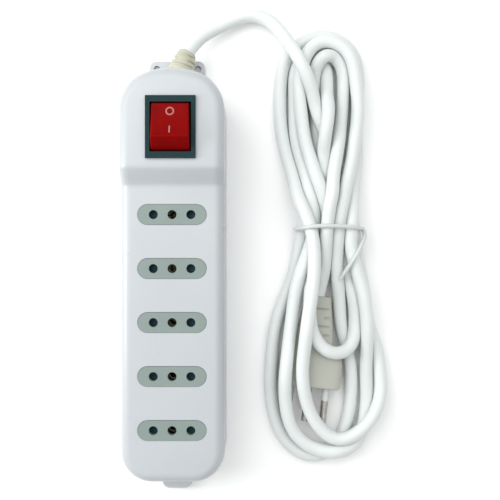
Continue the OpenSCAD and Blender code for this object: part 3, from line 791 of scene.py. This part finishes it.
def add_mark(name, outer, inner=None):
    """Printed mark that follows the rocker's dish and stands a hair proud of it."""
    def lifted(outline, lift):
        return [(x, y, dish_height(y) + lift) for x, y in outline]

    sunk, proud = -0.2, 0.06
    rows = [lifted(outer, sunk), lifted(outer, proud)]
    count = len(outer)
    if inner:
        rows += [lifted(inner, proud), lifted(inner, sunk)]
    faces = ring_faces(len(rows), count, closed_ends=not inner)
    if inner:
        last = 3 * count
        faces += [(last + k, last + (k + 1) % count, (k + 1) % count, k) for k in range(count)]
    new_piece(name, mesh_of(name, sum(rows, []), faces), "nylon", "rocker", rocker_place(), "mark")


def add_rocker():
    """Rocker with a dished face and soft edges, drawn level and then tilted about its axle."""
    # y and z down each end, from under the dish
    skirt = [(12.1, 4.5), (ROCKER_HALF_L, ROCKER_BOTTOM)]
    dish_end = 8.8
    side_of = [(-y, z) for y, z in skirt[::-1]]
    side_of += [(y, dish_height(y)) for y in np.linspace(-dish_end, dish_end, 23)] + skirt
    # half widths at the bottom and at the top
    low, high = 9.75, 9.25
    points = []
    for sign in (-1, 1):
        for y, z in side_of:
            width = low + (high - low) * (z - ROCKER_BOTTOM) / (ROCKER_TOP - ROCKER_BOTTOM)
            points.append((sign * width, y, z))
    count = len(side_of)
    faces = [tuple(range(count)), tuple(range(2 * count - 1, count - 1, -1))]
    faces += [(k, k + 1, count + k + 1, count + k) for k in range(count - 1)]
    faces.append((count - 1, 0, count, 2 * count - 1))
    mesh = mesh_of("rocker_cap", points, faces, 20)
    rocker = new_piece("rocker_cap", mesh, "rocker", "rocker", rocker_place())
    bevel(rocker, 0.55, 4, 18)
    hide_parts("switch_rocker")
    mark_y = 4.8
    outer_r, stroke = 2.15, 0.7
    add_mark("mark_off", circle(mark_y, outer_r), circle(mark_y, outer_r - stroke))
    add_mark("mark_on", upright(-mark_y, 1.55, 0.36))


# ---- Strain relief ----

def add_strain_relief():
    """Tapered sleeve with grooves cut from alternate sides, a neck in the wall and a flange."""
    slices, sides = 90, 64
    length, inside = 14.0, -6.4
    root_r, tip_r, round_r = 7.6, 4.45, 0.8
    neck_r, flange_r, flange_end = 5.0, 7.2, -4.0
    groove_depth = 0.75
    bore_r = CORD_R + 0.05
    bend_r = 45

    def ring(t, radii):
        """Ring of points about the axis, which bends with the lead outside the wall."""
        lean = max(t, 0) / bend_r
        middle = bend_r * (1 - math.cos(lean)), bend_r * math.sin(lean) + min(t, 0)
        points = []
        for k, r in enumerate(radii):
            turn = math.tau * k / sides
            points.append((middle[0] + r * math.cos(turn) * math.cos(lean), r * math.sin(turn),
                           middle[1] - r * math.cos(turn) * math.sin(lean)))
        return points

    def radius(t, turn):
        taper = root_r - (root_r - tip_r) * (t / length) ** 1.3
        past = t - length + round_r
        if past > 0:
            taper -= round_r - math.sqrt(max(round_r ** 2 - past ** 2, 0))
        depth = 0.0
        for k in range(4):
            near = max(0.0, 1 - abs(t - 2.5 - 2.9 * k) / 0.75)
            across = math.cos(2 * (turn + math.pi / 2 * (k % 2)))
            opening = 0.5 + 0.5 * math.tanh(5 * (across + 0.55))
            depth = max(depth, groove_depth * min(1.0, 2.2 * near) * opening)
        return max(taper - depth, CORD_R + 0.1)

    profile = [(inside, bore_r), (inside, flange_r), (flange_end, flange_r), (flange_end, neck_r),
               (0, neck_r)]
    rows = [ring(t, [r] * sides) for t, r in profile]
    for n in range(slices + 1):
        t = 0.3 + (length - 0.3) * n / slices
        rows.append(ring(t, [radius(t, math.tau * k / sides) for k in range(sides)]))
    rows.append(ring(length, [bore_r] * sides))
    last = (len(rows) - 1) * sides
    faces = ring_faces(len(rows), sides, closed_ends=False)
    faces += [(last + k, last + (k + 1) % sides, (k + 1) % sides, k) for k in range(sides)]
    mesh = mesh_of("lead_relief", sum(rows, []), faces, 40)
    relief = new_piece("lead_relief", mesh, "strain_relief", place=out_of_exit())
    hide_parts("strain_relief")
    return relief


# ---- Plug ----

def evenly_stations(stations, count):
    """The same stations with others between them, so that no ring is far from the next."""
    table = np.array(stations, float)
    run = -table[:, 0]
    at = np.unique(np.r_[np.linspace(0, run[-1], count), run])
    return [(-a, np.interp(a, run, table[:, 1]), np.interp(a, run, table[:, 2])) for a in at]


def rounded(half_w, half_t, turn, y):
    """Point of a flat oval section with soft corners."""
    c, s = math.cos(turn), math.sin(turn)
    power = 2 / 4.2
    return (half_w * math.copysign(abs(c) ** power, c), y, half_t * math.copysign(abs(s) ** power, s))


def groove_tools():
    """Boxes that cut the grip grooves of both faces: right across and at the edges only, by turns."""
    tools = []
    for face in (1, -1):
        for k in range(4):
            y = -6 - GROOVE_PITCH * k
            floor = (3.7 + 0.23 * k) * face
            spans = [(4, 14), (-14, -4)] if k % 2 else [(-14, 14)]
            for low, high in spans:
                plan = ((low, y - GROOVE_W), (high, y - GROOVE_W), (high, y), (low, y))
                box = [(px, py, z) for z in sorted((floor, 9 * face)) for px, py in plan]
                tools.append(linked("groove", mesh_of("groove", box, ring_faces(2, 4))))
    return tools


def add_plug():
    """Moulded plug: a thin grooved neck that swells into a wide flat head."""
    # along the plug from the lead, half width, half thickness
    wide, thick = PLUG_W / 2, PLUG_T / 2
    stations = [(0, 6.0, 3.6), (-0.4, 6.6, 4.1), (-1.2, 6.9, 4.5), (-6, 7.6, 4.7), (-12, 8.6, 5.0),
                (-20, 9.9, 5.4), (-25, 10.6, 5.8), (-28, 11.6, 6.1), (-30.5, 13.5, 6.4),
                (-32.5, 15.5, 6.6), (-34, 16.4, 6.7), (-36, wide, thick), (-42, wide, thick),
                (-PLUG_L + 0.8, wide, thick), (-PLUG_L + 0.25, wide - 0.25, thick - 0.25),
                (-PLUG_L, wide - 0.8, thick - 0.8)]
    sides = 72
    rows = [[rounded(w, t, math.tau * k / sides, y) for k in range(sides)]
            for y, w, t in evenly_stations(stations, 56)]
    mesh = mesh_of("plug_moulding", sum(rows, []), ring_faces(len(rows), sides), 50)
    plug = linked("plug_moulding", mesh)
    mesh.materials.append(MATERIALS["plug"])
    cut(plug, groove_tools())
    plug.matrix_world = (Matrix.Translation((PLUG_AT[0] * MM, PLUG_AT[1] * MM, PLUG_T / 2 * MM))
                         @ Matrix.Rotation(PLUG_TURN, 4, "Z"))
    bevel(plug, 0.15, 2, 50)
    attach(plug, "casing")
    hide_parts("plug_body")
    return plug


# ---- Parts shown as the CAD has them ----

def soften_cad_parts():
    """Small rounded edges on the parts that have plain ones in the CAD."""
    edges = {"base_shell": 0.45, "switch_housing": 0.45, "plug_pins": 0.5, "cable_clamp": 0.3}
    edges.update({f"outlet_insert_{k}": 0.22 for k in range(1, 6)})
    edges.update({f"outlet_shutter_{k}": 0.1 for k in range(1, 6)})
    for name, width in edges.items():
        bevel(frame["nodes"][name], width, 3, 40)


def paint_cad_parts():
    """Each part takes the material that its record names."""
    slots = {part["node"]: part["material_slot"] for part in frame["record"]["subparts"]}
    for name, node in frame["nodes"].items():
        for place in node.material_slots:
            place.material = MATERIALS[slots[name]]


# ---- The whole scene ----

add_camera()
line = lead_line()
lead = add_lead(line)
tie, tail = add_tie(line)
relief = add_strain_relief()
plug = add_plug()
add_studio()
add_floor()
add_casing()
add_rocker()
soften_cad_parts()
paint_cad_parts()
